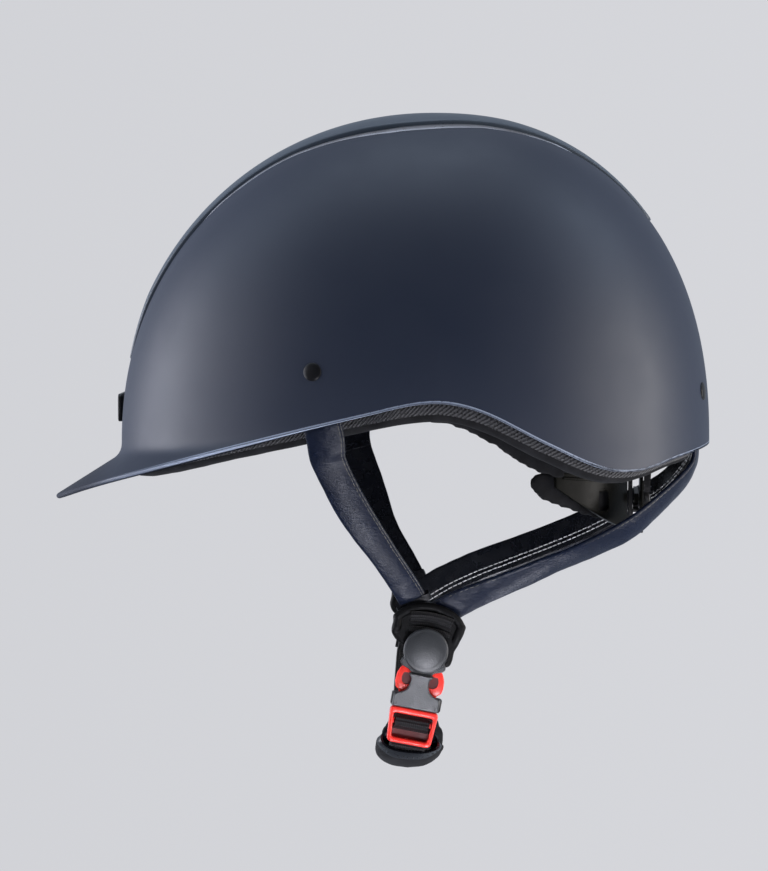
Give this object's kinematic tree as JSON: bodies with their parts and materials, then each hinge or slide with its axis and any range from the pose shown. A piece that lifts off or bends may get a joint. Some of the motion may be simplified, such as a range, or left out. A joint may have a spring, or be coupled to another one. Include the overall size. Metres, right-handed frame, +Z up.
{
  "type": "equestrian riding helmet",
  "caption": "Peaked riding helmet with a crest panel, leather harness, side-release chin buckle, padded liner and a dial-adjusted nape cradle.",
  "frame": {"origin": "centre of the head opening, midway between the sides at the level where the shell's walls turn upright", "axes": "+Z up out of the crown, -Y towards the peak, +X towards the wearer's left"},
  "size_m": [0.2142, 0.3075, 0.3055],
  "materials": {
    "shell_navy": "matte navy paint over a moulded shell",
    "crest_slate": "satin slate blue-grey",
    "trim_gloss": "gloss dark chrome trim",
    "black_plastic": "fine moulded texture",
    "gloss_black": "glossy moulded nylon",
    "liner_foam": "beaded polystyrene foam, black",
    "mesh_fabric": "black spacer mesh",
    "navy_leather": "grained navy leather with stitched edges",
    "black_webbing": "ribbed black webbing",
    "grey_plastic": "satin dark grey acetal",
    "red_plastic": "satin red acetal",
    "steel": "plain steel"
  },
  "bodies": {
    "helmet": {"outer_shell": "shell_navy", "crest_panel": "crest_slate", "crest_trim_left": "trim_gloss", "crest_trim_right": "trim_gloss", "vent_mesh_left": "black_plastic", "vent_mesh_right": "black_plastic", "vent_mesh_rear": "black_plastic", "front_badge": "black_plastic", "temple_plug_left": "black_plastic", "temple_plug_right": "black_plastic", "nape_plug_left": "black_plastic", "nape_plug_right": "black_plastic", "eps_liner": "liner_foam", "rim_roll": "mesh_fabric", "brow_pad": "mesh_fabric", "side_pad_left": "mesh_fabric", "side_pad_right": "mesh_fabric", "crown_pad": "mesh_fabric", "front_anchor_left": "steel", "front_anchor_right": "steel", "rear_anchor_left": "steel", "rear_anchor_right": "steel", "hinge_bracket": "steel", "hinge_pin": "steel", "front_strap_left": "navy_leather", "front_strap_right": "navy_leather", "rear_strap_left": "navy_leather", "rear_strap_right": "navy_leather", "divider_guard_left": "black_webbing", "divider_guard_right": "black_webbing", "webbing_roll_left": "black_webbing", "webbing_roll_right": "black_webbing", "pivot_disc_left": "grey_plastic", "pivot_disc_right": "grey_plastic"},
    "cradle": {"cradle_hanger": "black_plastic", "yoke_base": "black_plastic", "yoke_cover": "gloss_black", "yoke_screw_left": "steel", "yoke_screw_right": "steel", "occipital_pad": "mesh_fabric"},
    "dial": {"dial": "black_plastic", "dial_pinion": "black_plastic"},
    "rack_left": {"rack_left": "gloss_black", "cradle_arm_left": "gloss_black", "arm_pad_left": "mesh_fabric"},
    "rack_right": {"rack_right": "gloss_black", "cradle_arm_right": "gloss_black", "arm_pad_right": "mesh_fabric"},
    "chin_loop": {"buckle_socket": "grey_plastic", "strap_hanger": "grey_plastic"},
    "tongue": {"tongue_frame": "red_plastic", "chin_webbing": "black_webbing", "chin_pad": "mesh_fabric", "chin_pad_cover": "mesh_fabric"},
    "prong_front": {"prong_front": "red_plastic"},
    "prong_rear": {"prong_rear": "red_plastic"}
  },
  "joints": [
    {"name": "cradle_tilt", "type": "hinge", "parent": "helmet", "child": "cradle", "pos_m": [0, 0.1105, 0.012], "axis": [1, 0, 0], "range_deg": [-7, 7]},
    {"name": "dial_turn", "type": "hinge", "parent": "cradle", "child": "dial", "pos_m": [0, 0.108, -0.032], "axis": [0, 1, 0], "range_deg": [-72, 24]},
    {"name": "rack_left_slide", "type": "slide", "parent": "cradle", "child": "rack_left", "axis": [1, 0, 0], "range_m": [-0.006, 0.002]},
    {"name": "rack_right_slide", "type": "slide", "parent": "cradle", "child": "rack_right", "axis": [-1, 0, 0], "range_m": [-0.006, 0.002]},
    {"name": "chin_swing", "type": "hinge", "parent": "helmet", "child": "chin_loop", "pos_m": [0.066, 0.008, -0.0905], "axis": [0.9975, 0.0642, 0.0302], "range_deg": [-25, 25]},
    {"name": "buckle_release", "type": "slide", "parent": "chin_loop", "child": "tongue", "axis": [0.0416, -0.1834, -0.9822], "range_m": [0, 0.026], "deforming": ["prong_front", "prong_rear"]},
    {"name": "prong_front_squeeze", "type": "hinge", "parent": "tongue", "child": "prong_front", "pos_m": [0.06757, -0.00404, -0.1169], "axis": [-0.9975, -0.0642, -0.0302], "range_deg": [0, 7], "stiffness_Nm_per_rad": 0.2},
    {"name": "prong_rear_squeeze", "type": "hinge", "parent": "tongue", "child": "prong_rear", "pos_m": [0.06677, 0.0097, -0.1195], "axis": [0.9975, 0.0642, 0.0302], "range_deg": [0, 7], "stiffness_Nm_per_rad": 0.2}
  ],
  "couplings": [
    {"joint": "dial_turn", "follows": "rack_left_slide", "rad_per_m": 208.33},
    {"joint": "rack_right_slide", "follows": "rack_left_slide", "ratio": 1}
  ]
}
